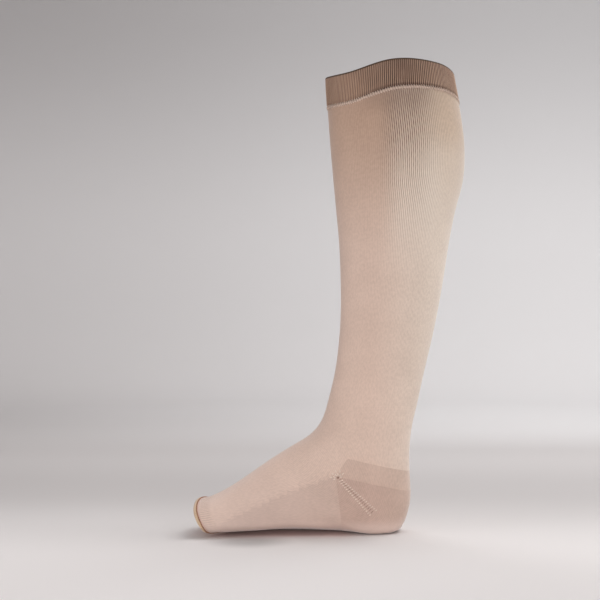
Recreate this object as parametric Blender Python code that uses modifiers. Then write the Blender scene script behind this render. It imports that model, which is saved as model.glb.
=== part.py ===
"""An open-toe, knee-high compression stocking for a right leg, hollow and in its worn form.

The part's frame: +Z up, the toes towards -X, the inner side of the leg towards -Y, and the
origin at the middle of the leg opening, where the stiff top band grips the leg.

Every knitted piece is a wall on one smooth tube. The tube runs through the sections below,
from the opening, down the leg, round the heel and along the foot.
"""

import math
from collections import namedtuple

import bmesh
import bpy
from mathutils import Vector

MM = 0.001

# Driving sizes, in millimetres.
OPENING_HEIGHT = 414.5  # from the sole up to the origin
LEG_STEP = 28.8  # between two sections of the leg
SEAM_GAP = 0.3  # between two pieces that are knitted or sewn together
LEG_BELLY = -0.06  # moves the leg's widest line back, as a share of its half depth
SOLE_ROUNDING = 2.0  # how softly the sole flattens where it stands
COLUMNS = 36  # facets round the tube

# Walls: how thick each piece is, and how far it stands out from the tube.
Wall = namedtuple("Wall", "thick proud")
BAND_WALL = Wall(2.0, 0.5)
BAND_SEAM_WALL = Wall(2.4, 0.8)
LEG_WALL = Wall(1.0, 0.0)
SPLICE_WALL = Wall(1.2, 0.0)
HEEL_WALL = Wall(1.4, 0.0)
SOLE_WALL = Wall(1.2, 0.0)
HEM_RADIUS = 1.5  # of the rolled hem round the toe opening

# The leg, from above the band down to the ankle, a level section every LEG_STEP.
# front and back are the x of the shin and of the calf, inner and outer the half widths.
LegSection = namedtuple("LegSection", "front back inner outer")
LEG_TOP = 431.2  # height of the first section above the sole
LEG = [
    LegSection(-58.0, 53.0, 49.0, 50.0),
    LegSection(-57.5, 58.2, 50.5, 51.5),
    LegSection(-55.7, 63.5, 52.0, 53.0),
    LegSection(-53.6, 66.8, 53.0, 55.0),
    LegSection(-51.1, 65.7, 52.0, 54.0),
    LegSection(-48.4, 58.5, 48.5, 50.0),
    LegSection(-45.8, 52.8, 44.5, 46.0),
    LegSection(-44.6, 48.4, 41.0, 42.5),
    LegSection(-44.3, 43.4, 37.5, 39.0),
    LegSection(-45.8, 37.5, 34.0, 35.5),
    LegSection(-49.5, 30.7, 31.5, 33.0),
    LegSection(-56.3, 24.4, 31.0, 32.5),
]

# The ankle, heel and foot: each section leans from its front point, on the instep, to its
# back point, on the heel or the sole. The ups are heights above the sole, and a height under
# it is pressed flat. belly below 0 moves the widest line towards the back point, square fills
# the corners, ridge shifts the instep to the inner side, and arch lifts the sole's inner side.
FootSection = namedtuple(
    "FootSection", "front front_up back back_up inner outer belly square ridge arch"
)
FOOT = [
    FootSection(-60.8, 100.9, 19.6, 93.7, 32.5, 33.5, 0.00, 0.00, 0.0, 0.0),
    FootSection(-66.5, 91.9, 17.5, 74.5, 34.0, 34.5, 0.00, 0.01, 0.0, 0.0),
    FootSection(-74.0, 85.1, 17.5, 55.0, 33.5, 34.0, -0.05, 0.02, 1.0, 0.0),
    FootSection(-82.5, 79.9, 18.3, 37.0, 32.5, 33.0, -0.05, 0.02, 2.0, 0.0),
    FootSection(-91.0, 75.0, 16.4, 19.9, 32.0, 33.0, -0.12, 0.02, 3.0, 0.0),
    FootSection(-100.0, 69.5, 8.0, 1.5, 32.0, 33.5, -0.17, 0.04, 4.0, 0.0),
    FootSection(-110.5, 62.7, -11.0, -6.0, 32.0, 35.0, -0.20, 0.05, 5.0, 2.0),
    FootSection(-121.0, 55.5, -38.0, -5.0, 32.0, 37.5, -0.22, 0.05, 6.0, 7.0),
    FootSection(-131.5, 48.1, -64.0, -5.0, 33.0, 40.5, -0.30, 0.08, 7.0, 10.5),
    FootSection(-142.0, 41.3, -90.0, -4.0, 35.0, 43.5, -0.30, 0.07, 8.0, 10.0),
    FootSection(-153.0, 35.2, -115.0, -2.0, 38.5, 46.0, -0.30, 0.05, 9.0, 5.5),
    FootSection(-164.0, 30.8, -139.0, 0.3, 41.5, 47.0, -0.30, 0.03, 11.0, 1.5),
    FootSection(-175.0, 29.3, -161.0, 1.0, 42.5, 46.0, -0.30, 0.02, 11.0, 0.0),
    FootSection(-187.0, 28.6, -180.0, 1.5, 42.0, 44.0, -0.30, 0.02, 10.0, 0.0),
]

# Edges that run round the tube, given every 45 degrees. Heights above the sole for the band,
# and a place in the list of sections for the toe opening.
Edge = namedtuple(
    "Edge", "front front_outer outer back_outer back back_inner inner front_inner"
)
BAND_TOP = Edge(407.0, 409.5, 413.5, 411.5, 409.0, 414.6, 416.4, 407.5)
BAND_BOTTOM = Edge(381.7, 385.2, 389.8, 388.0, 386.0, 393.3, 394.0, 382.7)
BAND_SEAM_HEIGHT = 3.0
TOE_OPENING = Edge(23.65, 23.2, 22.9, 22.8, 23.3, 23.95, 24.1, 24.05)

# Straight seams seen from the side, as (x, height above the sole) at two points. What is
# kept lies on the left of the way from the first point to the second.
HEEL_TOP = ((18.5, 36.9), (-49.6, 52.4))
HEEL_FRONT = ((-49.6, 52.4), (-43.6, 4.5))
SPLICE_TOP = ((18.5, 54.5), (-39.2, 67.9))
SPLICE_FRONT = ((-39.2, 67.9), (-49.6, 52.4))
SPLICE_FOOT = HEEL_TOP[::-1]
SOLE_BACK = HEEL_FRONT[::-1]
SOLE_TOP_BACK = ((-49.6, 52.4), (-88.2, 39.3))
SOLE_TOP_FRONT = ((-88.2, 39.3), (-148.8, 13.2))
SOLE_FRONT = ((-148.8, 13.2), (-153.0, 1.5))

# A region's lines bound one convex area.
HEEL = [HEEL_TOP, HEEL_FRONT]
SPLICE = [SPLICE_TOP, SPLICE_FRONT, SPLICE_FOOT]
SOLE = [SOLE_BACK, SOLE_TOP_BACK, SOLE_TOP_FRONT, SOLE_FRONT]

# Colours of the yarns: base colour, roughness.
BEIGE = ((0.61, 0.46, 0.37, 1.0), 0.75)
BEIGE_DEEP = ((0.50, 0.35, 0.27, 1.0), 0.8)
BEIGE_MID = ((0.55, 0.40, 0.32, 1.0), 0.8)
PALE = ((0.66, 0.50, 0.41, 1.0), 0.7)
TAN = ((0.27, 0.16, 0.11, 1.0), 0.7)
HEM_TAN = ((0.36, 0.20, 0.11, 1.0), 0.65)


def sections():
    """The leg's and the foot's sections as one list, all written as foot sections."""
    leg = []
    for number, s in enumerate(LEG):
        up = LEG_TOP - number * LEG_STEP
        level = (s.front, up, s.back, up, s.inner, s.outer)
        leg.append(FootSection(*level, LEG_BELLY, square=0.0, ridge=0.0, arch=0.0))
    return leg + FOOT


TUBE = sections()
ANKLE = len(LEG) - 1  # the place of the last level section


def smooth(p, q, r, s, t):
    """A value on the curve through p, q, r and s, from q at t = 0 to r at t = 1."""
    return (
        q * (1 + 2 * t) * (1 - t) ** 2
        + (r - p) / 2 * t * (1 - t) ** 2
        + r * t * t * (3 - 2 * t)
        + (s - q) / 2 * t * t * (t - 1)
    )


def at_place(place):
    """The section at any place in the list, on a smooth curve through its neighbours."""
    first = min(max(math.floor(place), 0), len(TUBE) - 2)
    near = [TUBE[min(max(first + step, 0), len(TUBE) - 1)] for step in (-1, 0, 1, 2)]
    return FootSection(*(smooth(*values, place - first) for values in zip(*near)))


def on_tube(place, angle):
    """A point of the tube's outside. Angle 0 is the front, 90 degrees the outer side."""
    s = at_place(place)
    along = (math.cos(angle) - s.square * math.cos(3 * angle)) / (1 - s.square)
    along += s.belly * math.sin(angle) ** 2
    across = (math.sin(angle) + s.square * math.sin(3 * angle)) / (1 - s.square)
    share = (1 + along) / 2  # 1 at the front point, 0 at the back point
    x = s.back + (s.front - s.back) * share
    up = s.back_up + (s.front_up - s.back_up) * share
    y = across * (s.outer if across > 0 else s.inner) - s.ridge * (1 + math.cos(angle)) / 2
    inner_and_low = (1 - math.cos(angle)) * (1 - math.sin(angle)) / (1 + math.sqrt(0.5)) ** 2
    up += s.arch * inner_and_low**2
    up = (up + math.hypot(up, SOLE_ROUNDING)) / 2
    return Vector((x, y, up - OPENING_HEIGHT)) * MM


def edge_at(edge, angle):
    """The value of an edge round the tube, smooth through its eight points."""
    turn = angle / math.radians(45)
    first = math.floor(turn)
    p, q, r, s = (edge[(first + step) % len(edge)] for step in (-1, 0, 1, 2))
    return smooth(p, q, r, s, turn - first)


def leg_place(height):
    """The place in the list of sections of a height on the leg."""
    return (LEG_TOP - height) / LEG_STEP


def band_place(edge, angle, below=0.0):
    """The place of a point that many millimetres below one of the band's edges."""
    return leg_place(edge_at(edge, angle) - below)


def tube_surface(first_place, last_place, rows):
    """An open surface between two edges. Each is a function from the angle to a place."""
    mesh = bmesh.new()
    rings = []
    for row in range(rows + 1):
        ring = []
        for column in range(COLUMNS):
            angle = 2 * math.pi * column / COLUMNS
            first, last = first_place(angle), last_place(angle)
            ring.append(mesh.verts.new(on_tube(first + (last - first) * row / rows, angle)))
        rings.append(ring)
    for upper, lower in zip(rings, rings[1:]):
        for column in range(COLUMNS):
            after = (column + 1) % COLUMNS
            mesh.faces.new((upper[column], upper[after], lower[after], lower[column]))
    return mesh


def cut_plane(line, shift):
    """A line seen from the side as a point and a normal that points away from what is kept.

    shift moves the plane out along that normal, in millimetres."""
    (x1, up1), (x2, up2) = line
    along = Vector((x2 - x1, 0, up2 - up1)).normalized()
    normal = Vector((0, 1, 0)).cross(along)
    point = Vector((x1, 0, up1 - OPENING_HEIGHT)) + normal * shift
    return point * MM, normal


def is_inside(point, planes):
    return all((point - origin).dot(normal) < 0 for origin, normal in planes)


def split(mesh, plane, only=None):
    """Cuts the faces, or those whose middle only() accepts, along a plane."""
    faces = [f for f in mesh.faces if only is None or only(f.calc_center_median())]
    edges = {e for f in faces for e in f.edges}
    verts = {v for f in faces for v in f.verts}
    bmesh.ops.bisect_plane(
        mesh,
        geom=[*verts, *edges, *faces],
        plane_co=plane[0],
        plane_no=plane[1],
        dist=0.05 * MM,
    )


def keep_region(mesh, region):
    """Keeps what lies inside the region, half a seam gap in from its lines."""
    planes = [cut_plane(line, -SEAM_GAP / 2) for line in region]
    for plane in planes:
        split(mesh, plane)
    outside = [f for f in mesh.faces if not is_inside(f.calc_center_median(), planes)]
    bmesh.ops.delete(mesh, geom=outside, context="FACES")


def drop_region(mesh, region):
    """Takes the region out of the surface, half a seam gap past its lines."""
    near = 20  # the cuts run this far past the region, in millimetres
    planes = [cut_plane(line, SEAM_GAP / 2) for line in region]
    wide = [cut_plane(line, near) for line in region]
    for plane in planes:
        split(mesh, plane, lambda point: is_inside(point, wide))
    inside = [f for f in mesh.faces if is_inside(f.calc_center_median(), planes)]
    bmesh.ops.delete(mesh, geom=inside, context="FACES")


def material(name, look):
    colour, roughness = look
    made = bpy.data.materials.new(name)
    made.use_nodes = True
    surface = made.node_tree.nodes["Principled BSDF"]
    surface.inputs["Base Color"].default_value = colour
    surface.inputs["Roughness"].default_value = roughness
    return made


def add_node(name, data, look):
    node = bpy.data.objects.new(name, data)
    node.data.materials.append(material(name, look))
    STOCKING.objects.link(node)
    return node


def add_wall(name, mesh, wall, look):
    """The surface as a closed wall of cloth. The mesh is used up."""
    bmesh.ops.dissolve_degenerate(mesh, dist=0.01 * MM, edges=mesh.edges)
    bmesh.ops.triangulate(mesh, faces=[f for f in mesh.faces if len(f.verts) > 4])
    data = bpy.data.meshes.new(name)
    mesh.to_mesh(data)
    mesh.free()
    node = add_node(name, data, look)
    solidify = node.modifiers.new("Cloth", "SOLIDIFY")
    solidify.thickness = wall.thick * MM
    solidify.offset = 2 * wall.proud / wall.thick - 1
    solidify.use_even_offset = True
    return node


def top_band():
    surface = tube_surface(
        lambda angle: band_place(BAND_TOP, angle),
        lambda angle: band_place(BAND_BOTTOM, angle),
        rows=3,
    )
    add_wall("top_band", surface, BAND_WALL, TAN)


def band_seam():
    surface = tube_surface(
        lambda angle: band_place(BAND_BOTTOM, angle, SEAM_GAP),
        lambda angle: band_place(BAND_BOTTOM, angle, SEAM_GAP + BAND_SEAM_HEIGHT),
        rows=1,
    )
    add_wall("band_seam", surface, BAND_SEAM_WALL, PALE)


def leg_start(angle):
    return band_place(BAND_BOTTOM, angle, 2 * SEAM_GAP + BAND_SEAM_HEIGHT)


def hem_point(angle):
    """A point of the toe opening, the step to it along the tube and the way round it."""
    place = edge_at(TOE_OPENING, angle)
    here = on_tube(place, angle)
    back = 0.1  # of the way to the section before
    along = (here - on_tube(place - back, angle)) / back
    next_angle = angle + math.radians(1)
    round_it = on_tube(edge_at(TOE_OPENING, next_angle), next_angle) - here
    return here, along, round_it.normalized()


def toe_edge(angle):
    """Where the knitted foot ends, just short of the hem that is rolled round it."""
    _here, along, round_it = hem_point(angle)
    across = along - round_it * along.dot(round_it)
    return edge_at(TOE_OPENING, angle) - (HEM_RADIUS + SEAM_GAP) * MM / across.length


def ankle(_angle):
    return ANKLE


def knitted_tube():
    """The whole tube from the band's seam to the toe hem, as one open surface."""
    leg_rows, foot_rows = 21, 26
    mesh = tube_surface(leg_start, ankle, leg_rows)
    foot = tube_surface(ankle, toe_edge, foot_rows)
    joined = bpy.data.meshes.new("foot")
    foot.to_mesh(joined)
    foot.free()
    mesh.from_mesh(joined)
    bpy.data.meshes.remove(joined)
    bmesh.ops.remove_doubles(mesh, verts=mesh.verts, dist=0.01 * MM)
    return mesh


def leg_and_instep():
    surface = knitted_tube()
    for region in (HEEL, SPLICE, SOLE):
        drop_region(surface, region)
    add_wall("leg_and_instep", surface, LEG_WALL, BEIGE)


def region_piece(name, region, wall, look):
    surface = knitted_tube()
    keep_region(surface, region)
    add_wall(name, surface, wall, look)


def toe_hem():
    curve = bpy.data.curves.new("toe_hem", "CURVE")
    curve.dimensions = "3D"
    spline = curve.splines.new("POLY")
    spline.points.add(COLUMNS - 1)
    spline.use_cyclic_u = True
    for number, point in enumerate(spline.points):
        angle = 2 * math.pi * number / COLUMNS
        here, along, round_it = hem_point(angle)
        inwards = along.cross(round_it).normalized()
        point.co = (*(here + inwards * LEG_WALL.thick / 2 * MM), 1.0)
    curve.bevel_depth = HEM_RADIUS * MM
    curve.bevel_resolution = 1
    add_node("toe_hem", curve, HEM_TAN)


for old in list(bpy.data.objects):
    bpy.data.objects.remove(old)
STOCKING = bpy.data.collections.new("compression_stocking")
bpy.context.scene.collection.children.link(STOCKING)

top_band()
band_seam()
leg_and_instep()
region_piece("heel_splice", SPLICE, SPLICE_WALL, BEIGE_MID)
region_piece("heel", HEEL, HEEL_WALL, BEIGE_DEEP)
region_piece("sole", SOLE, SOLE_WALL, BEIGE_MID)
toe_hem()
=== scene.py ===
# The looks of an open-toe, knee-high compression stocking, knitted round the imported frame.
# Lengths are millimetres until a point becomes a vertex, which is in metres.
import math
from collections import namedtuple

import bmesh
import bpy
from mathutils import Matrix, Vector
from mathutils.bvhtree import BVHTree


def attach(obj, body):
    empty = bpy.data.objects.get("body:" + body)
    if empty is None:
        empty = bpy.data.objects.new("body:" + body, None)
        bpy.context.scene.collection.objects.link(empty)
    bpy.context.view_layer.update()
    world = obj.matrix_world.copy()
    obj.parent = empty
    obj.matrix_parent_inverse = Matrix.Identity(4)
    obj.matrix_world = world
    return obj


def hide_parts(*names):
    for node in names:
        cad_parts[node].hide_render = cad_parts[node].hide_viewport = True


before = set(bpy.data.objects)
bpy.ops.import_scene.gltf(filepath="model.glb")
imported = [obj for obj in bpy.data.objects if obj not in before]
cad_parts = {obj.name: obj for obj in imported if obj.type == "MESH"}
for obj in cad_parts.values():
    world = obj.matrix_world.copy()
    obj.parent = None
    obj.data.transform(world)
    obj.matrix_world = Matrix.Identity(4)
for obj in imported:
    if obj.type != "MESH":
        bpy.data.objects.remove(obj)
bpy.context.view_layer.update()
mm = 0.001

print("stage 1: camera, floor and lights")

view = {
    "distance": 1.5,  # from the camera to the middle of the stocking, metres
    "side": -0.081,  # the camera's x
    "height": -0.207,  # and its z
    "lens": 100.0,
    "sensor": 36.0,
}


def addCamera():
    data = bpy.data.cameras.new("camera")
    data.lens = view["lens"]
    data.sensor_width = view["sensor"]
    data.dof.use_dof = False
    camera = bpy.data.objects.new("camera", data)
    camera.location = (view["side"], -view["distance"], view["height"])
    camera.rotation_euler = (math.radians(90), 0, 0)
    bpy.context.scene.collection.objects.link(camera)
    bpy.context.scene.camera = camera


addCamera()


class Wire:
    # an output of a shader node, which can stand in a sum
    def __init__(self, look, socket):
        self.look = look
        self.socket = socket

    def maths(self, operation, *values):
        return self.look.node("Math", {"operation": operation}, dict(enumerate(values)))

    def __add__(self, other):
        return self.maths("ADD", self, other)

    def __sub__(self, other):
        return self.maths("SUBTRACT", self, other)

    def __mul__(self, other):
        return self.maths("MULTIPLY", self, other)

    def __truediv__(self, other):
        return self.maths("DIVIDE", self, other)

    def __pow__(self, other):
        return self.maths("POWER", self, other)

    def __radd__(self, other):
        return self.maths("ADD", other, self)

    def __rsub__(self, other):
        return self.maths("SUBTRACT", other, self)

    def __rmul__(self, other):
        return self.maths("MULTIPLY", other, self)

    def __abs__(self):
        return self.maths("ABSOLUTE", self)

    def fraction(self):
        return self.maths("FRACT", self)

    def whole(self):
        return self.maths("FLOOR", self)

    def wave(self):
        # 0 at whole numbers, 1 half way between them
        return 1 - abs(2 * self.fraction() - 1)

    def between(self, low, high):
        # a soft step, 0 at low and 1 at high
        span = {"From Min": low, "From Max": high, "Value": self}
        return self.look.node("MapRange", {"interpolation_type": "SMOOTHSTEP"}, span)


class Look:
    # a material with one Principled BSDF
    def __init__(self, name):
        self.material = bpy.data.materials.new(name)
        self.material.use_nodes = True
        self.tree = self.material.node_tree
        self.surface = self.tree.nodes["Principled BSDF"]

    def node(self, kind, settings=None, sockets=None, output=None):
        made = self.tree.nodes.new("ShaderNode" + kind)
        for key, value in (settings or {}).items():
            setattr(made, key, value)
        for key, value in (sockets or {}).items():
            self.plug(self.pick(made.inputs, key), value)
        return Wire(self, self.pick(made.outputs, output))

    def pick(self, sockets, key):
        if isinstance(key, int):
            return sockets[key]
        return next(s for s in sockets if s.enabled and key in (None, s.name))

    def plug(self, socket, value):
        if isinstance(value, Wire):
            self.tree.links.new(value.socket, socket)
        elif isinstance(value, tuple) and len(value) == 3 and socket.type == "RGBA":
            socket.default_value = (*value, 1.0)
        else:
            socket.default_value = value

    def mix(self, factor, first, second, blend="MIX"):
        settings = {"data_type": "RGBA", "blend_type": blend}
        sockets = {"Factor": factor, "A": first, "B": second}
        return self.node("Mix", settings, sockets)

    def noise(self, vector, scale, detail=2.0):
        sockets = {"Vector": vector, "Scale": scale, "Detail": detail}
        return self.node("TexNoise", {}, sockets)

    def flatNoise(self, x, y):
        # over two values that are scaled already
        return self.noise(self.vector(x, y), 1.0, 1.0)

    def axes(self, vector):
        first = self.node("SeparateXYZ", {}, {0: vector}, "X")
        return [Wire(self, output) for output in first.socket.node.outputs]

    def vector(self, x, y):
        return self.node("CombineXYZ", {}, {0: x, 1: y})

    def place(self):
        return self.node("TexCoord", {}, {}, "Object")

    def attribute(self, name):
        return self.node("Attribute", {"attribute_name": name}, {}, "Fac")

    def bump(self, height, distance, strength):
        sockets = {"Height": height, "Distance": distance, "Strength": strength}
        return self.node("Bump", {}, sockets)

    def set(self, **sockets):
        for name, value in sockets.items():
            self.plug(self.surface.inputs[name.replace("_", " ")], value)
        return self.material


def addObject(name, mesh, material):
    # the bmesh becomes an object, and is used up
    data = bpy.data.meshes.new(name)
    mesh.to_mesh(data)
    mesh.free()
    data.materials.append(material)
    made = bpy.data.objects.new(name, data)
    bpy.context.scene.collection.objects.link(made)
    return made


studio = {
    "floor": -0.4147,  # just under the sole, metres
    "centre": (-0.055, 0.0),
    "radius": 2.6,
    "cove": 0.7,  # radius of the curve up to the wall
    "coveSteps": 10,
    "wall": 2.4,
    "sides": 96,
    "ball": (-0.126, -0.067),  # where a painted shadow lies, in front of the ball of the foot
    "tone": (0.875, 0.86, 0.86),
    "shade": (0.46, 0.445, 0.445),
    "warm": (0.85, 0.55, 0.52),  # painted warm light that the cloth throws on the floor
    "front": 0.11,  # share of the painted shade in front, but for the near left
    "behind": 0.68,  # behind the stocking
    "left": 0.27,  # on the left at the back
    "high": 0.56,  # up the wall
    "atBall": 0.7,  # in that shadow
    "underFoot": 0.45,  # share of that painted warm light
}


def studioLook():
    # paper with soft fields of painted shade, a painted shadow and painted warm bounced light,
    # whose spans are in metres
    look = Look("studioPaper")
    place = look.place()
    x, y, z = look.axes(place)
    # painted shade: a little everywhere but in front on the left, more behind the stocking, on
    # the left at the back and up the wall
    nearLeft = (1 - x.between(-0.30, 0.05)) * (1 - y.between(-0.15, 0.05))
    behind = y.between(-0.17, 0.30) * (1 - 0.27 * y.between(0.35, 0.7))
    behind = behind * (1 - 0.95 * y.between(1.2, 2.2))
    left = (1 - x.between(-0.9, 0.6)) * y.between(0.0, 0.8)
    high = z.between(-0.10, 0.55)
    # a painted shadow on the floor in front of the ball of the foot
    ball = (*studio["ball"], studio["floor"])
    toBall = look.node("VectorMath", {"operation": "DISTANCE"}, {0: place, 1: ball}, "Value")
    shade = studio["front"] * (1 - nearLeft) + studio["behind"] * behind
    shade = shade + studio["left"] * left + studio["high"] * high
    shade = shade + studio["atBall"] * (1 - toBall.between(0.008, 0.046))
    colour = look.mix(shade, studio["tone"], studio["shade"])
    # painted warm light from the cloth, on the floor under the foot
    under = x.between(-0.19, -0.15) * (1 - x.between(-0.05, -0.02))
    under = under * (1 - abs(y + 0.01).between(0.01, 0.045))
    colour = look.mix(studio["underFoot"] * under, colour, studio["warm"])
    return look.set(Base_Color=colour, Roughness=0.9)


def addStudio():
    mesh = bmesh.new()
    far, cove, low = studio["radius"], studio["cove"], studio["floor"]
    outline = [(0.0, low), (far - cove, low)]
    for step in range(1, studio["coveSteps"] + 1):
        turn = math.radians(90) * step / studio["coveSteps"]
        outline.append((far - cove + cove * math.sin(turn), low + cove - cove * math.cos(turn)))
    outline.append((far, low + studio["wall"]))
    verts = [mesh.verts.new((x, 0, z)) for x, z in outline]
    edges = [mesh.edges.new(pair) for pair in zip(verts, verts[1:])]
    bmesh.ops.spin(
        mesh,
        geom=verts + edges,
        cent=(0, 0, 0),
        axis=(0, 0, 1),
        angle=math.radians(360),
        steps=studio["sides"],
        use_merge=True,
    )
    bmesh.ops.remove_doubles(mesh, verts=mesh.verts, dist=1e-5)
    bmesh.ops.recalc_face_normals(mesh, faces=mesh.faces)
    bmesh.ops.reverse_faces(mesh, faces=mesh.faces)
    bmesh.ops.translate(mesh, verts=mesh.verts, vec=(*studio["centre"], 0))
    for face in mesh.faces:
        face.smooth = True
    addObject("studio", mesh, studioLook())


Lamp = namedtuple("Lamp", "name place aim size spread watts colour")
lamps = [  # square ones: place, aim and size in metres, spread in degrees
    Lamp("front", (0.4, -1.7, -0.25), (-0.06, 0.0, -0.32), 0.5, 75, 1.85, (0.995, 0.995, 0.995)),
    Lamp("left", (-1.6, -0.8, -0.2), (-0.06, 0.0, -0.32), 0.5, 75, 1.2, (0.995, 0.995, 0.995)),
    Lamp("top", (0.7, 0.4, 1.1), (-0.08, 0.0, -0.4), 1.2, 180, 17.0, (1.0, 0.995, 0.99)),
    Lamp("far", (0.1, 1.3, 1.2), (-0.08, 0.0, -0.4), 0.7, 180, 1.7, (1.0, 0.99, 0.985)),
    Lamp("back", (-0.4, 1.0, 0.9), (-0.08, -0.1, -0.4), 0.6, 180, 3.2, (1.0, 0.99, 0.985)),
    Lamp("backdrop", (0.5, 1.0, 0.6), (0.5, 2.6, 0.3), 0.9, 180, 9.7, (0.93, 0.98, 1.0)),
]
air = {"colour": (1.0, 0.91, 0.89), "strength": 0.44}


def addLamps():
    for lamp in lamps:
        data = bpy.data.lights.new(lamp.name, "AREA")
        data.size = lamp.size
        data.spread = math.radians(lamp.spread)
        data.energy = lamp.watts
        data.color = lamp.colour
        made = bpy.data.objects.new(lamp.name, data)
        made.location = lamp.place
        towards = Vector(lamp.aim) - Vector(lamp.place)
        made.rotation_euler = towards.to_track_quat("-Z", "Y").to_euler()
        made.visible_camera = False
        bpy.context.scene.collection.objects.link(made)
    world = bpy.data.worlds.new("studioAir")
    world.use_nodes = True
    background = world.node_tree.nodes["Background"]
    background.inputs["Color"].default_value = (*air["colour"], 1.0)
    background.inputs["Strength"].default_value = air["strength"]
    bpy.context.scene.world = world
    bpy.context.scene.view_settings.view_transform = "Standard"


addStudio()
addLamps()

print("stage 2: the tube that every knitted piece lies on")

tube = {
    "openingHeight": 414.5,  # from the sole up to the origin
    "legTop": 431.2,  # height of the first section
    "legStep": 28.8,  # between two sections of the leg
    "legBelly": -0.06,  # moves the widest line back, as a share of the half depth
    "soleRounding": 2.0,  # how softly the sole flattens where it stands
}

# front and back are the x of the shin and of the calf, inner and outer the half widths.
legSection = namedtuple("legSection", "front back inner outer")
legSections = [
    legSection(-58.0, 53.0, 49.0, 50.0),
    legSection(-57.5, 58.2, 50.5, 51.5),
    legSection(-55.7, 63.5, 52.0, 53.0),
    legSection(-53.6, 66.8, 53.0, 55.0),
    legSection(-51.1, 65.7, 52.0, 54.0),
    legSection(-48.4, 58.5, 48.5, 50.0),
    legSection(-45.8, 52.8, 44.5, 46.0),
    legSection(-44.6, 48.4, 41.0, 42.5),
    legSection(-44.3, 43.4, 37.5, 39.0),
    legSection(-45.8, 37.5, 34.0, 35.5),
    legSection(-49.5, 30.7, 31.5, 33.0),
    legSection(-56.3, 24.4, 31.0, 32.5),
]

# A section of the foot leans from its front point on the instep to its back point on the
# heel or the sole. Heights are above the sole, and what is below it is pressed flat.
footSection = namedtuple(
    "footSection", "front frontUp back backUp inner outer belly square ridge arch"
)
footSections = [
    footSection(-60.8, 100.9, 19.6, 93.7, 32.5, 33.5, 0.00, 0.00, 0.0, 0.0),
    footSection(-66.5, 91.9, 17.5, 74.5, 34.0, 34.5, 0.00, 0.01, 0.0, 0.0),
    footSection(-74.0, 85.1, 17.5, 55.0, 33.5, 34.0, -0.05, 0.02, 1.0, 0.0),
    footSection(-82.5, 79.9, 18.3, 37.0, 32.5, 33.0, -0.05, 0.02, 2.0, 0.0),
    footSection(-91.0, 75.0, 16.4, 19.9, 32.0, 33.0, -0.12, 0.02, 3.0, 0.0),
    footSection(-100.0, 69.5, 8.0, 1.5, 32.0, 33.5, -0.17, 0.04, 4.0, 0.0),
    footSection(-110.5, 62.7, -11.0, -6.0, 32.0, 35.0, -0.20, 0.05, 5.0, 2.0),
    footSection(-121.0, 55.5, -38.0, -5.0, 32.0, 37.5, -0.22, 0.05, 6.0, 7.0),
    footSection(-131.5, 48.1, -64.0, -5.0, 33.0, 40.5, -0.30, 0.08, 7.0, 10.5),
    footSection(-142.0, 41.3, -90.0, -4.0, 35.0, 43.5, -0.30, 0.07, 8.0, 10.0),
    footSection(-153.0, 35.2, -115.0, -2.0, 38.5, 46.0, -0.30, 0.05, 9.0, 5.5),
    footSection(-164.0, 30.8, -139.0, 0.3, 41.5, 47.0, -0.30, 0.03, 11.0, 1.5),
    footSection(-175.0, 29.3, -161.0, 1.0, 42.5, 46.0, -0.30, 0.02, 11.0, 0.0),
    footSection(-187.0, 28.6, -180.0, 1.5, 42.0, 44.0, -0.30, 0.02, 10.0, 0.0),
]

# Edges that run round the tube, every 45 degrees from the front over the outer side:
# heights above the sole for the band, and a place in the list of sections for the toes.
bandTop = (407.0, 409.5, 413.5, 411.5, 409.0, 414.6, 416.4, 407.5)
bandBottom = (381.7, 385.2, 389.8, 388.0, 386.0, 393.3, 394.0, 382.7)
toeOpening = (23.65, 23.2, 22.9, 22.8, 23.3, 23.95, 24.1, 24.05)


def allSections():
    leg = []
    for number, s in enumerate(legSections):
        up = tube["legTop"] - number * tube["legStep"]
        level = (s.front, up, s.back, up, s.inner, s.outer)
        leg.append(footSection(*level, tube["legBelly"], 0.0, 0.0, 0.0))
    return leg + footSections


sections = allSections()
ankle = len(legSections) - 1  # the place of the last level section


def smooth(p, q, r, s, t):
    # on the curve through p, q, r and s, from q at 0 to r at 1
    return (
        q * (1 + 2 * t) * (1 - t) ** 2
        + (r - p) / 2 * t * (1 - t) ** 2
        + r * t * t * (3 - 2 * t)
        + (s - q) / 2 * t * t * (t - 1)
    )


def sectionAt(place):
    first = min(max(math.floor(place), 0), len(sections) - 2)
    near = [sections[min(max(first + step, 0), len(sections) - 1)] for step in (-1, 0, 1, 2)]
    return footSection(*(smooth(*values, place - first) for values in zip(*near)))


def onTube(place, angle):
    # A point of the tube; angle 0 is the front, 90 degrees the outer side. A section is an
    # ellipse, made squarer by square, its widest line moved to the front by belly.
    s = sectionAt(place)
    along = (math.cos(angle) - s.square * math.cos(3 * angle)) / (1 - s.square)
    along += s.belly * math.sin(angle) ** 2
    across = (math.sin(angle) + s.square * math.sin(3 * angle)) / (1 - s.square)
    share = (1 + along) / 2
    x = s.back + (s.front - s.back) * share
    up = s.backUp + (s.frontUp - s.backUp) * share
    y = across * (s.outer if across > 0 else s.inner) - s.ridge * (1 + math.cos(angle)) / 2
    innerAndLow = (1 - math.cos(angle)) * (1 - math.sin(angle)) / (1 + math.sqrt(0.5)) ** 2
    up += s.arch * innerAndLow**2
    up = (up + math.hypot(up, tube["soleRounding"])) / 2
    return Vector((x, y, up - tube["openingHeight"])) * mm


def edgeAt(edge, angle):
    turn = angle / math.radians(45)
    first = math.floor(turn)
    p, q, r, s = (edge[(first + step) % len(edge)] for step in (-1, 0, 1, 2))
    return smooth(p, q, r, s, turn - first)


def bandPlace(edge, angle, below=0.0):
    height = edgeAt(edge, angle) - below
    return (tube["legTop"] - height) / tube["legStep"]


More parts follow.
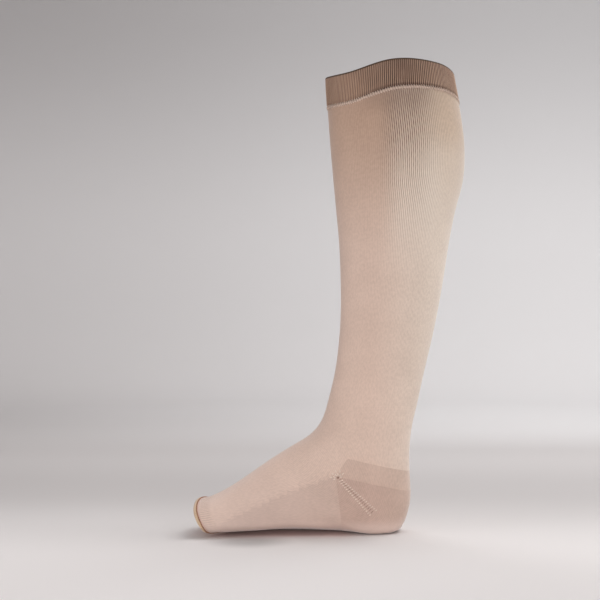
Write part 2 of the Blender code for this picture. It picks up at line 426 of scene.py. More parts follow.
def evenRing(placeAt, columns):
    # angles that share out each half of a ring, front to back, into equal lengths
    angles = []
    half = columns // 2
    samples = 60
    for side in (0, 1):
        turns = [math.pi * (side + n / samples) for n in range(samples + 1)]
        points = [onTube(placeAt(turn), turn) for turn in turns]
        lengths = [0.0]
        for before, after in zip(points, points[1:]):
            lengths.append(lengths[-1] + (after - before).length)
        n = 0
        for column in range(half):
            wanted = lengths[-1] * column / half
            while lengths[n + 1] < wanted:
                n += 1
            share = (wanted - lengths[n]) / (lengths[n + 1] - lengths[n])
            angles.append(turns[n] + (turns[n + 1] - turns[n]) * share)
    return angles + [2 * math.pi]


def softStep(low, high, value):
    share = min(max((value - low) / (high - low), 0.0), 1.0)
    return share * share * (3 - 2 * share)


def outwards(place, angle):
    # the tube's normal
    step = 0.01
    roundIt = onTube(place, angle + step) - onTube(place, angle - step)
    along = onTube(place + step, angle) - onTube(place - step, angle)
    return roundIt.cross(along).normalized()


def wrappedGrid(columns, lengths, lay):
    # A flat grid with its UV map, laid on the tube by lay(column, row) and closed round it.
    # The map's u goes once round, and its v is each row's length from the top, in metres.
    mesh = bmesh.new()
    knitMap = mesh.loops.layers.uv.new("knit")
    columnOf = mesh.verts.layers.int.new("column")
    rows = len(lengths) - 1
    bmesh.ops.create_grid(mesh, x_segments=columns, y_segments=rows, size=0.5, calc_uvs=True)
    for face in mesh.faces:
        face.smooth = True
        for loop in face.loops:
            loop[knitMap].uv.y = lengths[round(loop[knitMap].uv.y * rows)] * mm
    for vert in mesh.verts:
        vert[columnOf] = round((vert.co.x + 0.5) * columns)
        row = round((vert.co.y + 0.5) * rows)
        vert.co = lay(vert[columnOf], row)
    bmesh.ops.remove_doubles(mesh, verts=mesh.verts, dist=0.002 * mm)
    mesh.normal_update()
    return mesh


def thicken(mesh, thick, proud):
    # a closed wall of cloth, proud of the tube by so much and the rest inwards
    crease = math.radians(50)
    for vert in mesh.verts:
        vert.co += vert.normal * proud * mm
    bmesh.ops.solidify(mesh, geom=mesh.faces[:], thickness=thick * mm)
    mesh.normal_update()
    for edge in mesh.edges:
        if edge.calc_face_angle(0) > crease:
            edge.smooth = False


def finishPiece(name, mesh, material, node, slot):
    piece = addObject(name, mesh, material)
    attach(piece, "root")
    if node:
        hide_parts(node)
    return piece


def blend(first, last, share):
    # a place between two others, all as functions of the angle
    return lambda angle: first(angle) + (last(angle) - first(angle)) * share


knit = {
    "wales": 192,  # ribs of stitches round the tube
    "columns": 3,  # of the grid in one wale
    "legRows": 44,
    "legLength": 274.0,  # from the seam to the ankle, as the UV map has it
    "footRows": 32,
    "footLength": 160.0,
    "toeRows": 8,
    "toeZone": 12.0,  # the ribbed end of the foot
    "ridge": 0.05,  # depth of the grooves
    "openRidge": 0.13,  # more of it where the calf stretches the knit open
    "openBack": ((-16, 2), (14, 42)),  # x where that begins, and where it goes down again
    "openUp": (-175, -75),  # z where it begins
    "toeRidge": 0.22,  # every second groove at the toes
    "toeFade": (8.0, 14.0),  # from the toe opening to where those grooves end
    "welt": 0.28,  # height of the pale edge beside the toe hem
    "weltFade": (1.6, 2.6),
    "course": 0.9,  # from one row of stitches to the next
    "dash": 6.5,  # from one pale dash on a wale to the next
    "wall": 1.0,
    "spliceWall": 1.2,
    "heelWall": 1.4,
    "heelProud": 0.3,
    "soleWall": 1.2,
    "soleProud": 0.06,
    "relaxed": 0.8,  # share of its area when it isn't stretched
}
# the ridge between band and knit, and the rolled hem: the knit begins and ends at them
seam = {
    "gap": 0.3,  # to the band
    "height": 2.6,
    "tuck": 0.7,  # how far the knit reaches under it
    "middle": 1.8,  # below the band
    "proud": 0.4,
    "wall": 2.0,
    "ripple": 0.08,  # of its yarns, as a share of half the wall
    "columns": 504,
    "rows": 12,
    "around": 9.0,  # its girth, for the UV map
}
hem = {
    "radius": 1.5,
    "gap": 0.05,  # to the knit
    "inside": 0.5,  # how far its middle lies inside the tube
    "ripple": 0.03,
    "columns": 480,
    "rows": 14,
    "around": 9.4,
    "ribs": 120,
    "slant": 90,  # of the ribs, in ribs for each metre
}


def legStart(angle):
    return bandPlace(bandBottom, angle, seam["gap"] + seam["height"] - seam["tuck"])


def toeFrame(angle, back=0.0):
    # a place so many millimetres before the toe opening, with the ways along and round it
    place = edgeAt(toeOpening, angle)
    here = onTube(place, angle)
    step = 0.1
    along = (here - onTube(place - step, angle)) / step
    nextAngle = angle + math.radians(1)
    roundIt = (onTube(edgeAt(toeOpening, nextAngle), nextAngle) - here).normalized()
    along -= roundIt * along.dot(roundIt)
    place -= back * mm / along.length
    return place, along.normalized(), roundIt


def toeEdge(angle):
    return toeFrame(angle, hem["radius"] + hem["gap"])[0]


def toeZone(angle):
    return toeFrame(angle, hem["radius"] + knit["toeZone"])[0]


def knitRows():
    # each row's place on the tube, as a function of the angle, and its length from the top
    spans = [
        (legStart, lambda angle: ankle, knit["legRows"], knit["legLength"]),
        (lambda angle: ankle, toeZone, knit["footRows"], knit["footLength"]),
        (toeZone, toeEdge, knit["toeRows"], knit["toeZone"]),
    ]
    places, lengths = [], []
    done = 0.0
    for first, last, rows, length in spans:
        for row in range(rows):
            places.append(blend(first, last, row / rows))
            lengths.append(done + length * row / rows)
        done += length
    return places + [toeEdge], lengths + [done]


def knittedTube():
    places, lengths = knitRows()
    columns = knit["wales"] * knit["columns"]
    rings = [evenRing(place, columns) for place in places]

    def lay(column, row):
        angle = rings[row][column]
        return onTube(places[row](angle), angle)

    mesh = wrappedGrid(columns, lengths, lay)
    markKnit(mesh, [onTube(toeEdge(angle), angle) for angle in rings[-1]])
    ribKnit(mesh)
    return mesh


def markKnit(mesh, edge):
    # attributes for the looks: how far the calf stretches the knit open, and millimetres
    # from the toe opening's edge and below the sole's
    opened = mesh.verts.layers.float.new("opened")
    toeGap = mesh.verts.layers.float.new("toeGap")
    soleDepth = mesh.verts.layers.float.new("soleDepth")
    column = mesh.verts.layers.int["column"]
    farGap, farDepth = 50.0, 20.0
    rise, fall = knit["openBack"]
    for vert in mesh.verts:
        x, _, z = vert.co / mm
        up = z + tube["openingHeight"]
        back = softStep(*rise, x) * (1 - 0.85 * softStep(*fall, x))
        vert[opened] = back * (0.08 + 0.92 * softStep(*knit["openUp"], z))
        vert[toeGap] = min((vert.co - edge[vert[column]]).length / mm, farGap)
        behindGore = x > soleTop[0][0] and up > soleTop[0][1]
        depth = -farDepth if behindGore else soleLine(x) - up
        vert[soleDepth] = min(max(depth, -farDepth), farDepth)


def ribKnit(mesh):
    opened = mesh.verts.layers.float["opened"]
    toeGap = mesh.verts.layers.float["toeGap"]
    column = mesh.verts.layers.int["column"]
    for vert in mesh.verts:
        near = 1 - softStep(*knit["toeFade"], vert[toeGap])
        depth = 0.0
        if vert[column] % knit["columns"] == 0:
            depth = knit["ridge"] + knit["openRidge"] * vert[opened]
            if vert[column] % (2 * knit["columns"]) == 0:
                depth += knit["toeRidge"] * near
        rise = knit["welt"] * (1 - softStep(*knit["weltFade"], vert[toeGap]))
        vert.co += vert.normal * (rise - depth * (1 - rise / knit["welt"])) * mm
    mesh.normal_update()


def sideCut(first, last):
    # a straight seam seen from the side, as (x, height above the sole) at two points:
    # a point of its plane, and a normal that points away from what lies on its left
    (x1, up1), (x2, up2) = first, last
    along = Vector((x2 - x1, 0, up2 - up1)).normalized()
    return Vector((x1, 0, up1 - tube["openingHeight"])) * mm, Vector((0, 1, 0)).cross(along)


# where one kind of knit meets the next: x and height above the sole at both ends of a line
joins = {
    "heelTop": ((18.5, 36.9), (-49.6, 52.4)),
    "heelFront": ((-49.6, 52.4), (-43.6, 4.5)),
    "spliceTop": ((18.5, 54.5), (-39.2, 67.9)),
    "spliceFront": ((-39.2, 67.9), (-49.6, 52.4)),
    "soleFront": ((-148.8, 13.2), (-153.0, 1.5)),
}
soleTop = ((-49.6, 52.4), (-88.2, 39.3), (-148.8, 13.2))
soleSteps = (-49.0, -56.5, -65.0, -75.5, -82.0, -92.5, -99.0, -108.0, -114.5, -124.0)
soleSteps += (-131.0, -139.0, -145.0, -149.6)  # x of the risers in the sole's edge

heelCuts = [sideCut(*joins["heelTop"]), sideCut(*joins["heelFront"])]
spliceCuts = [
    sideCut(*joins["spliceTop"]),
    sideCut(*joins["spliceFront"]),
    sideCut(*joins["heelTop"][::-1]),
]
soleCuts = [sideCut(*joins["heelFront"][::-1]), sideCut(*joins["soleFront"])]


def soleLine(x):
    # height of the sole's edge on the side of the foot
    first, middle, last = soleTop
    if x > middle[0]:
        last = middle
    else:
        first = middle
    return first[1] + (last[1] - first[1]) * (x - first[0]) / (last[0] - first[0])


# each stair of that edge: its two ends and its height
stairs = [(a, b, soleLine((a + b) / 2)) for a, b in zip(soleSteps, soleSteps[1:])]


def isInside(point, planes, spare=0.0):
    return all((point - origin).dot(normal) < spare * mm for origin, normal in planes)


def zoneOf(point):
    if isInside(point, heelCuts):
        return "heel"
    if isInside(point, spliceCuts):
        return "splice"
    if isInside(point, soleCuts):
        x, up = point.x / mm, point.z / mm + tube["openingHeight"]
        x = min(x, soleSteps[0] - 0.01)
        tops = [top for start, end, top in stairs if end <= x < start] or [soleTop[-1][1]]
        return "sole" if up < tops[0] else "leg"
    return "leg"


def cutAlong(mesh, plane, isNear):
    faces = [f for f in mesh.faces if isNear(f.calc_center_median())]
    edges = {e for f in faces for e in f.edges}
    verts = {v for f in faces for v in f.verts}
    bmesh.ops.bisect_plane(
        mesh,
        geom=[*verts, *edges, *faces],
        plane_co=plane[0],
        plane_no=plane[1],
        dist=0.03 * mm,
    )


def cutZones(mesh):
    # only faces that are this near to a line are cut
    margin, stairMargin = 8.0, 7.0
    low, high, ball = -156.0, -36.0, -120.0  # x of the sole's two ends, and of its ball

    def nearEdge(point):
        x, up = point.x / mm, point.z / mm + tube["openingHeight"]
        return low < x < high and abs(up - soleLine(x)) < stairMargin

    for cuts in (heelCuts, spliceCuts):
        for plane in cuts:
            cutAlong(mesh, plane, lambda p: isInside(p, cuts, margin))
    cutAlong(mesh, soleCuts[0], lambda p: isInside(p, soleCuts, margin))
    cutAlong(mesh, soleCuts[1], lambda p: isInside(p, soleCuts, margin) and p.x < ball * mm)
    for _, end, _ in stairs:
        plane = (Vector((end * mm, 0, 0)), Vector((1, 0, 0)))
        cutAlong(mesh, plane, lambda p: nearEdge(p) and abs(p.x / mm - end) < stairMargin)
    for start, end, top in stairs:
        plane = (Vector((0, 0, (top - tube["openingHeight"]) * mm)), Vector((0, 0, 1)))
        cutAlong(mesh, plane, lambda p: nearEdge(p) and end < p.x / mm < start)


def zonePiece(whole, zone):
    mesh = whole.copy()
    others = [f for f in mesh.faces if zoneOf(f.calc_center_median()) != zone]
    bmesh.ops.delete(mesh, geom=others, context="FACES")
    return mesh


finishes = {
    # yarn and litOpenYarn are its colours in front and towards the back, which is paler partly
    # as the knit is stretched open there and partly as painted light from the right; groove and
    # openGroove how much painted shade lies between the wales at each, cloud how blotchy
    "leg": {
        "yarn": (0.775, 0.592, 0.494),
        "litOpenYarn": (0.965, 0.848, 0.728),
        "groove": 0.10,
        "openGroove": 1.0,
        "cloud": 0.05,
    },
    "splice": {
        "yarn": (0.685, 0.505, 0.418),
        "litOpenYarn": (0.795, 0.638, 0.533),
        "groove": 0.16,
        "openGroove": 0.0,
        "cloud": 0.07,
    },
    "heel": {
        "yarn": (0.612, 0.434, 0.361),
        "litOpenYarn": (0.753, 0.586, 0.486),
        "groove": 0.2,
        "openGroove": 0.0,
        "cloud": 0.08,
    },
    "sole": {
        "yarn": (0.668, 0.50, 0.422),
        "groove": 0.14,
        "openGroove": 0.0,
        "cloud": 0.08,
    },
}
tints = {
    # how much of a dye is mixed in, at the most
    "slub": 0.1,  # where the yarn is thin
    "stitch": 0.1,  # between the stitches
    "crestHighlight": 0.95,  # painted highlight on the wales, where they are stretched open
    "calfHighlight": 0.22,  # painted highlight at the back of the calf
    "fore": 0.3,  # painted light at the front of the foot
    # toeRib is painted shade in every second groove at the toes
    "toeRib": 0.35,
    "ankle": 0.11,  # painted shade along the middle of the leg, low
    "calf": 0.04,  # and high
    # painted shade right under the band
    "underBand": 0.06,
    "flankLight": 0.55,  # painted light round the sole
}
dyes = {
    "mottleAndShade": (0.21, 0.135, 0.10),  # the darker yarn of the mottle, and painted shade between two wales, at the toes and on the leg
    "crestHighlight": (0.93, 0.85, 0.75),  # painted highlight on a wale that is stretched open, and on the calf
    "upper": (0.74, 0.66, 0.585),  # tints the knit under the band darker: partly its closer knit, partly painted shade
    "flankLight": (0.90, 0.72, 0.65),  # painted light low on the foot, and at its front
    "welt": (0.72, 0.53, 0.46),
    "band": (0.34, 0.21, 0.145),
    "bandRib": (0.73, 0.52, 0.385),
    "bandGroove": (0.053, 0.024, 0.016),
    "bandFold": (0.075, 0.045, 0.028),
    "seam": (0.60, 0.45, 0.37),
    "seamStitch": (0.74, 0.585, 0.49),
    "hem": (0.72, 0.52, 0.35),
    "hemThread": (0.43, 0.21, 0.12),
    "gore": (0.88, 0.74, 0.64),
    # dark beads of painted shade, for the eyelets and the hole
    "goreHoleShade": (0.36, 0.235, 0.185),
}


def yarnColour(look, name, x, slub):
    # the sole's edge is ragged, and fades out towards the toes
    # paler towards the back: on the leg partly its stretched knit, and on every piece painted
    # light from the right
    right = x.between(-0.025, 0.05)
    if name not in ("leg", "sole"):
        return look.mix(right, finishes[name]["yarn"], finishes[name]["litOpenYarn"])
    near = (look.attribute("soleDepth") + 4 * slub).between(-5.0, 5.0)
    share = (0.4 + 0.6 * near if name == "sole" else 0.5 * near) * x.between(-0.165, -0.140)
    colour = look.mix(right, finishes["leg"]["yarn"], finishes["leg"]["litOpenYarn"])
    return look.mix(share, colour, finishes["sole"]["yarn"])


def knitLook(name):
    finish = finishes[name]
    look = Look(name + "Knit")
    around, down, _ = look.axes(look.node("UVMap", {"uv_map": "knit"}))
    toeGap = look.attribute("toeGap")

    # the pattern of the yarn: wales along the tube, courses across it
    wales = around * knit["wales"]
    wale = wales.wave()
    groove = (1 - wale) ** 1.5
    course = (down / (knit["course"] * mm) + 0.4 * wale).wave()
    stitch = wale.between(0.15, 0.75) * course.between(0.1, 0.6)
    streaks = look.flatNoise(wales * 0.8, down * 130).between(0.36, 0.64)
    slub = look.flatNoise(wales * 0.8 + 7, down * 350).between(0.33, 0.67)
    drift = look.flatNoise(wales * 0.5, down * 60)
    dashes = (down / (knit["dash"] * mm) + 0.38 * (wales + 0.5).whole() + 0.9 * drift).wave()
    # painted shade in every second groove at the toes
    toeRib = (1 - (wales / 2).wave()) ** 3 * (1 - toeGap.between(8.0, 13.0))

    # and where it looks different, in metres from the origin
    place = look.place()
    x, _, z = look.axes(place)
    clouds = look.noise(place, 45.0, 3.0).between(0.35, 0.65)
    high = z.between(-0.105, -0.045)
    # painted highlight on the crests of the wales, where the calf stretches them open
    pale = x.between(-0.012, 0.010) * z.between(-0.19, -0.13) * (1 - 0.8 * x.between(0.03, 0.05))
    crestHighlight = wale.between(0.45, 0.75) * pale * (0.5 + 0.6 * dashes) * (1 - 0.55 * high)
    # a painted highlight at the back of the calf
    calfHighlight = x.between(0.012, 0.04) * z.between(-0.155, -0.115) * (1 - z.between(-0.085, -0.055))
    # lighter towards the front of the foot: painted light
    fore = 1 - x.between(-0.15, -0.02)
    # painted shade in the grooves between the wales, more where the knit is stretched open and
    # higher up
    strength = finish["groove"] + finish["openGroove"] * look.attribute("opened")
    dark = groove * strength * (0.4 + 0.25 * streaks + 0.5 * dashes) * (0.55 + 0.65 * high)
    middle = x.between(-0.045, -0.01) * (1 - x.between(0.015, 0.05))
    # painted shade down the middle of the leg, and right under the band
    legShade = tints["ankle"] * z.between(-0.32, -0.23) + tints["calf"] * z.between(-0.12, -0.035)
    legShade = middle * legShade * (1 + 1.6 * z.between(-0.05, -0.03))
    legShade = legShade + tints["underBand"] * z.between(-0.052, -0.022)
    # painted light low on the foot, round the sole
    flankLight = 1 - z.between(-0.412, -0.398)

    mottle = finish["cloud"] * clouds + tints["slub"] * slub + tints["stitch"] * (1 - stitch)
    colour = look.mix(mottle, yarnColour(look, name, x, slub), dyes["mottleAndShade"])
    # darker and browner under the band: partly the closer knit, partly painted shade
    upper = look.mix(1.0, colour, dyes["upper"], "MULTIPLY")
    colour = look.mix(z.between(-0.185, -0.035), colour, upper)
    colour = look.mix(tints["crestHighlight"] * crestHighlight, colour, dyes["crestHighlight"])
    colour = look.mix(tints["calfHighlight"] * calfHighlight, colour, dyes["crestHighlight"])
    colour = look.mix(tints["fore"] * fore, colour, dyes["flankLight"])
    colour = look.mix(tints["toeRib"] * toeRib, colour, dyes["mottleAndShade"])
    colour = look.mix(dark, colour, dyes["mottleAndShade"])
    colour = look.mix(legShade, colour, dyes["mottleAndShade"])
    colour = look.mix(tints["flankLight"] * flankLight, colour, dyes["flankLight"])
    colour = look.mix(1 - toeGap.between(1.6, 2.1), colour, dyes["welt"])
    height = 0.6 * wale + 0.4 * course + 0.15 * look.noise(place, 900.0)
    return look.set(
        Base_Color=colour,
        Roughness=0.62 + 0.1 * groove,
        Normal=look.bump(height, 0.12 * mm, 0.7),
        Sheen_Weight=0.5,
        Sheen_Roughness=0.35,
        Specular_IOR_Level=0.4,
    )


print("stage 3: the knitted leg, splice, heel and sole")

whole = knittedTube()
cutZones(whole)
surface = BVHTree.FromBMesh(whole)

zones = {
    # node, wall, proud, the flat cut that shows: width and length, metres
    "leg": ("leg_and_instep", knit["wall"], 0.0, (0.23, 0.41)),
    "splice": ("heel_splice", knit["spliceWall"], 0.0, (0.14, 0.018)),
    "heel": ("heel", knit["heelWall"], knit["heelProud"], (0.12, 0.07)),
    "sole": ("sole", knit["soleWall"], knit["soleProud"], (0.095, 0.115)),
}
for zone, (node, thick, proud, flat) in zones.items():
    mesh = zonePiece(whole, zone)
    area = sum(face.calc_area() for face in mesh.faces)
    thicken(mesh, thick, proud)
    print(zone, "area", round(area, 5), "faces", len(mesh.faces))
    piece = finishPiece(zone + "Knit", mesh, knitLook(zone), node, zone)
    flatArea = round(min(area * knit["relaxed"], flat[0] * flat[1]), 4)
whole.free()

print("stage 4: the ribbed band, its seam and the whip stitches")

band = {
    "ribs": 192,
    "ribColumns": 6,  # of the grid in one rib
    "ribHeight": 0.34,
    "height": 24.0,  # roughly, for the UV map and the lean of its ribs
    "radius": 55.0,  # roughly, for that lean
    "lean": (6, 5),  # degrees on the side, and how much more towards the front
    "wall": 2.0,
    "edge": 0.5,  # rounds the lower edge
    "proud": 0.5,
    "outerRows": 12,
    "edgeSteps": 4,
    "foldSteps": 6,
    "innerRows": 7,
    "lift": 0.14,  # how much paler it is at the back, low down
    "cloud": 0.12,  # how blotchy
    "dim": 0.33,  # how much painted shade along the middle
}


def bandProfile():
    # (share of the height from the top, millimetres below that, proud, rib) down the outer
    # side, under the lower edge, up the inner side and over the fold
    profile = []
    out, wall, edge = band["proud"], band["wall"], band["edge"]
    fold = wall / 2
    for row in range(band["outerRows"] + 1):
        share = row / band["outerRows"]
        profile.append((share, fold * (1 - share) - edge * share, out, 1.0))
    for step in range(1, band["edgeSteps"]):
        turn = math.pi * step / band["edgeSteps"]
        below = -edge + edge * math.sin(turn)
        profile.append((1.0, below, out - fold * (1 - math.cos(turn)), 0.5))
    for row in range(band["innerRows"] + 1):
        share = 1 - row / band["innerRows"]
        profile.append((share, fold * (1 - share) - edge * share, out - wall, 0.4))
    for step in range(1, band["foldSteps"]):
        turn = math.pi * step / band["foldSteps"]
        below = fold * (1 - math.sin(turn))
        profile.append((0.0, below, out - fold * (1 + math.cos(turn)), 0.4))
    return profile + profile[:1]


def topBand():
    profile = bandProfile()
    columns = band["ribs"] * band["ribColumns"]
    level, more = band["lean"]
    middle = blend(lambda a: bandPlace(bandTop, a), lambda a: bandPlace(bandBottom, a), 0.5)
    ring = evenRing(middle, columns)

    def lay(column, row):
        share, below, out, rib = profile[row]
        angle = ring[column]
        lean = math.radians(level + more * math.cos(angle)) * min(max(2 * math.sin(angle), -1), 1)
        angle += lean * band["height"] * (0.5 - share) / band["radius"]
        top, bottom = bandPlace(bandTop, angle), bandPlace(bandBottom, angle)
        place = top + (bottom - top) * share + below / tube["legStep"]
        bulge = 0.5 - 0.5 * math.cos(2 * math.pi * column / band["ribColumns"])
        away = out + band["ribHeight"] * rib * (bulge - 0.5)
        return onTube(place, angle) + outwards(place, angle) * away * mm

    lengths = [band["height"] * share + below for share, below, _, _ in profile]
    mesh = wrappedGrid(columns, lengths, lay)
    area = sum(face.calc_area() for face in mesh.faces)
    print("band area", round(area, 5), "faces", len(mesh.faces))
    piece = finishPiece("topBand", mesh, bandLook(), "top_band", "band")


def bandLook():
    look = Look("bandRib")
    around, down, _ = look.axes(look.node("UVMap", {"uv_map": "knit"}))
    place = look.place()
    x = look.axes(place)[0]
    ribs = around * band["ribs"]
    rib = ribs.wave()
    streaks = look.flatNoise(ribs * 0.7, down * 110).between(0.35, 0.65)
    clouds = look.noise(place, 40.0, 3.0).between(0.35, 0.65)
    middle = x.between(-0.040, 0.0) * (1 - 0.7 * x.between(0.035, 0.06))
    # painted shade along the middle
    dim = x.between(-0.040, 0.0) * (1 - 0.95 * x.between(0.012, 0.045))
    # painted highlight on the crests of the ribs
    crestHighlight = rib.between(0.45, 0.85) * (0.4 + 0.4 * streaks) * (0.72 + 0.28 * middle)
    lift = x.between(0.012, 0.045) * down.between(0.006, 0.016)
    # painted shade in the rib grooves, deeper along the middle, and at the foot of the band above
    # the seam
    grooves = (1 - rib.between(0.2, 0.6)) * (0.4 + 0.3 * streaks + 0.3 * middle)
    foot = down.between(0.0205, 0.0230) * (0.2 + 0.7 * middle) * (1 - 0.65 * rib)
    # darker along the top fold: partly its tighter yarn, partly painted shadow
    fold = 1 - down.between(0.0011, 0.0017)
    colour = look.mix(crestHighlight, dyes["band"], dyes["bandRib"])
    colour = look.mix(band["lift"] * lift, colour, dyes["bandRib"])
    for dark in (grooves, band["cloud"] * clouds + band["dim"] * dim, foot):
        colour = look.mix(dark, colour, dyes["bandGroove"])
    colour = look.mix(fold, colour, dyes["bandFold"])
    course = (down / (knit["course"] * mm) + 0.4 * rib).wave()
    height = 0.6 * rib + 0.4 * course + 0.15 * look.noise(place, 900.0)
    return look.set(
        Base_Color=colour,
        Roughness=0.75,
        Normal=look.bump(height, 0.14 * mm, 0.7),
        Sheen_Weight=0.25,
        Sheen_Roughness=0.4,
        Specular_IOR_Level=0.3,
    )


def yarnLook(name, colour):
    # plied sewing yarn
    look = Look(name)
    place = look.place()
    fuzz = look.noise(place, 700.0)
    shade = tuple(0.7 * channel for channel in colour)
    colour = look.mix(fuzz.between(0.3, 0.7), shade, colour)
    return look.set(
        Base_Color=colour,
        Roughness=0.7,
        Normal=look.bump(fuzz, 0.1 * mm, 0.6),
        Sheen_Weight=0.1,
        Specular_IOR_Level=0.25,
    )


def seamRing(columns):
    return evenRing(lambda angle: bandPlace(bandBottom, angle, seam["middle"]), columns)


def bandSeam():
    ring = seamRing(seam["columns"])
    half, deep = seam["height"] / 2, seam["wall"] / 2

    def lay(column, row):
        angle = ring[column]
        turn = 2 * math.pi * row / seam["rows"]
        ripple = 1 + seam["ripple"] * math.cos(2 * math.pi * column / 3)
        below = seam["gap"] + half + half * math.sin(turn)
        away = seam["proud"] - deep + deep * math.cos(turn) * ripple
        place = bandPlace(bandBottom, angle, below)
        return onTube(place, angle) + outwards(place, angle) * away * mm

    lengths = [seam["around"] * row / seam["rows"] for row in range(seam["rows"] + 1)]
    mesh = wrappedGrid(seam["columns"], lengths, lay)
    piece = finishPiece("bandSeam", mesh, yarnLook("seamYarn", dyes["seam"]), "band_seam", "seam")


whip = {
    "stitches": 152,
    "reach": 2.2,  # half the length of a stitch
    "yarn": 0.45,  # its radius
    "lean": 0.7,  # how far each end leans sideways
    "below": 1.1,  # its middle, below the top of the seam
    "proud": 0.1,
    "arch": 0.35,  # more of it at the middle
    "radius": 54.0,  # of the seam, to turn sideways lengths into angles
}


def whipStitches():
    mesh = bmesh.new()
    reach, yarn = whip["reach"], whip["yarn"]
    for start in seamRing(whip["stitches"])[:-1]:
        made = bmesh.ops.create_uvsphere(mesh, u_segments=6, v_segments=7, radius=1.0)
        for vert in made["verts"]:
            side, up, out = vert.co.x * yarn, vert.co.z * reach, vert.co.y * yarn
            angle = start + (side + whip["lean"] * up / reach) / whip["radius"]
            place = bandPlace(bandBottom, angle, seam["gap"] + whip["below"] - up)
            away = whip["proud"] + whip["arch"] * (1 - (up / reach) ** 2) + out
            vert.co = onTube(place, angle) + outwards(place, angle) * away * mm
    bmesh.ops.recalc_face_normals(mesh, faces=mesh.faces)
    for face in mesh.faces:
        face.smooth = True
    finishPiece("whipStitches", mesh, yarnLook("whipYarn", dyes["seamStitch"]), None, "seam")


topBand()
bandSeam()
whipStitches()

print("stage 5: the toe hem and its thread")


def toeRing(columns, rows, section):
    # a closed ring round the toe opening; section(column, turn) gives how far before the
    # opening and how far out of the cloth a point lies, in millimetres
    ring = evenRing(lambda angle: edgeAt(toeOpening, angle), columns)

    def lay(column, row):
        back, away = section(column, 2 * math.pi * row / rows)
        along, roundIt = toeFrame(ring[column])[1:]
        outside = roundIt.cross(along).normalized()
        shifted = toeFrame(ring[column], back)[0]
        return onTube(shifted, ring[column]) + outside * away * mm

    return wrappedGrid(columns, [hem["around"] * row / rows for row in range(rows + 1)], lay)


def toeHem():
    def section(column, turn):
        radius = hem["radius"] * (1 + hem["ripple"] * math.cos(2 * math.pi * column / 4))
        return -radius * math.sin(turn), radius * math.cos(turn) - hem["inside"]

    mesh = toeRing(hem["columns"], hem["rows"], section)
    piece = finishPiece("toeHem", mesh, hemLook(), "toe_hem", "hem")


thread = {
    "twists": 66,  # round the opening
    "twistColumns": 8,  # of the grid in one twist
    "rows": 8,
    "radius": 0.5,
    "plies": 0.3,  # how deep the thread is twisted, as a share of its radius
    "back": 1.35,
    "proud": 0.55,
}


def toeThread():
    def section(column, turn):
        twist = 2 * math.pi * column / thread["twistColumns"]
        radius = thread["radius"] * (1 + thread["plies"] * math.cos(2 * (turn - twist)))
        return thread["back"] - radius * math.sin(turn), thread["proud"] + radius * math.cos(turn)

    mesh = toeRing(thread["twists"] * thread["twistColumns"], thread["rows"], section)
    finishPiece("toeThread", mesh, yarnLook("hemYarn", dyes["hemThread"]), None, "hem")


def hemLook():
    look = Look("rolledHem")
    around, down, _ = look.axes(look.node("UVMap", {"uv_map": "knit"}))
    place = look.place()
    ribs = (around * hem["ribs"] + down * hem["slant"]).wave()
    fuzz = look.noise(place, 500.0)
    shade = tuple(0.6 * channel for channel in dyes["hem"])
    colour = look.mix(0.35 * (1 - ribs) + 0.25 * fuzz, dyes["hem"], shade)
    return look.set(
        Base_Color=colour,
        Roughness=0.65,
        Normal=look.bump(ribs + 0.4 * fuzz, 0.15 * mm, 0.6),
        Sheen_Weight=0.25,
        Specular_IOR_Level=0.35,
    )


toeHem()
toeThread()

print("stage 6: the stitches of the gore line")

gore = {
    "top": (-47.6, 51.0),  # x and height above the sole
    "bottom": (-17.0, 20.5),
    "pitch": 2.35,
    "first": 0.6,  # pitches left out before the first rung
    "spread": (0.9, 3.3),  # half the width between its two rows of beads, top and bottom
    "stagger": 0.5,  # moves each row along, one up and one down
    "slant": 0.25,  # of the beads
    "proud": 0.25,
    "bead": (2.3, 0.95, 0.6),  # length, width and height
    "eyelet": (0.8, 0.7, 0.4),  # its length grows with the spread
    "hole": (2.2, 2.1, 0.5),
    "tack": (2.8, 1.15, 0.7),
    "fans": ((6, 3.1, 15, 200), (5, 5.8, 38, 178)),  # tacks, distance from the hole, angles
}


def goreFrame(x, up, side):
    # the point of the cloth there, on the inner (-1) or the outer (1) side, and its normal
    start = Vector((x, side * 100.0, up - tube["openingHeight"])) * mm
    point, normal, _, _ = surface.ray_cast(start, Vector((0, -side, 0)))
    return point, normal


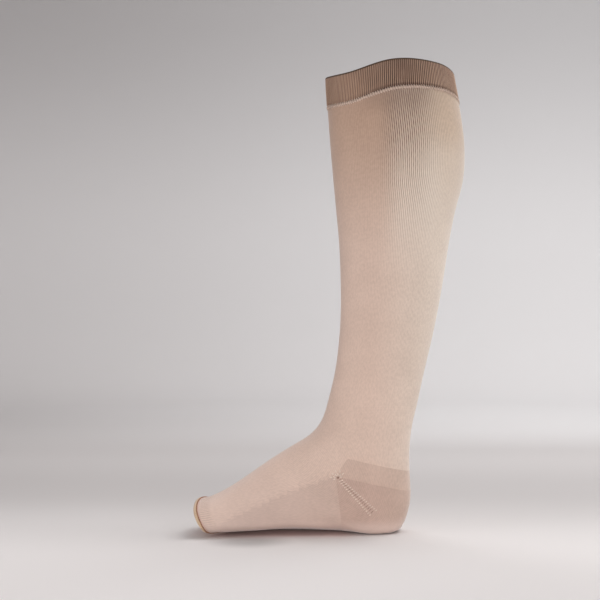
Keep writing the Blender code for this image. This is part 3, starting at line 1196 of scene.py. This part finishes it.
def addBead(mesh, x, up, side, towards, size):
    # a flat bead of yarn on the cloth
    point, normal = goreFrame(x, up, side)
    across = Vector((towards[0], 0, towards[1]))
    across = (across - normal * across.dot(normal)).normalized()
    turn = Matrix((across, normal.cross(across), normal)).transposed().to_4x4()
    length, width, height = size
    scale = Matrix.Diagonal((length / 2 * mm, width / 2 * mm, height / 2 * mm, 1))
    lift = Matrix.Translation(point + normal * gore["proud"] * mm)
    matrix = lift @ turn @ scale
    bmesh.ops.create_uvsphere(mesh, u_segments=8, v_segments=6, radius=1.0, matrix=matrix)


def goreLine():
    rungs, holes = bmesh.new(), bmesh.new()
    for side in (-1, 1):
        addRungs(rungs, holes, side)
        addFans(rungs, side)
    for mesh in (rungs, holes):
        for face in mesh.faces:
            face.smooth = True
    finishPiece("goreStitches", rungs, yarnLook("goreYarn", dyes["gore"]), None, "heel")
    finishPiece("goreEyeletShade", holes, yarnLook("goreHoleShade", dyes["goreHoleShade"]), None, "heel")


def addRungs(rungs, holes, side):
    # pairs of beads down the line, a dark bead of painted shade for an eyelet between each pair
    # and the next, and one for the hole
    start, end = Vector(gore["top"]), Vector(gore["bottom"])
    way = (end - start).normalized()
    cross = Vector((-way.y, way.x))
    count = int((end - start).length / gore["pitch"])
    narrow, wide = gore["spread"]
    length, width, height = gore["eyelet"]
    for step in range(1, count + 1):
        here = start + way * gore["pitch"] * (step + gore["first"])
        spread = narrow + (wide - narrow) * step / count
        for row in (-1, 1):
            bead = here + cross * spread * row + way * gore["stagger"] * row
            addBead(rungs, bead.x, bead.y, side, cross + way * gore["slant"], gore["bead"])
        mid = here - way * gore["pitch"] / 2
        addBead(holes, mid.x, mid.y, side, cross, (length * (1 + spread), width, height))
    addBead(holes, start.x, start.y, side, cross, gore["hole"])


def addFans(rungs, side):
    # rings of tacks that point away from the hole
    for tacks, away, low, high in gore["fans"]:
        for number in range(tacks):
            turn = math.radians(low + (high - low) * number / (tacks - 1))
            out = Vector((math.cos(turn), math.sin(turn)))
            spot = Vector(gore["top"]) + out * away
            addBead(rungs, spot.x, spot.y, side, out, gore["tack"])


goreLine()
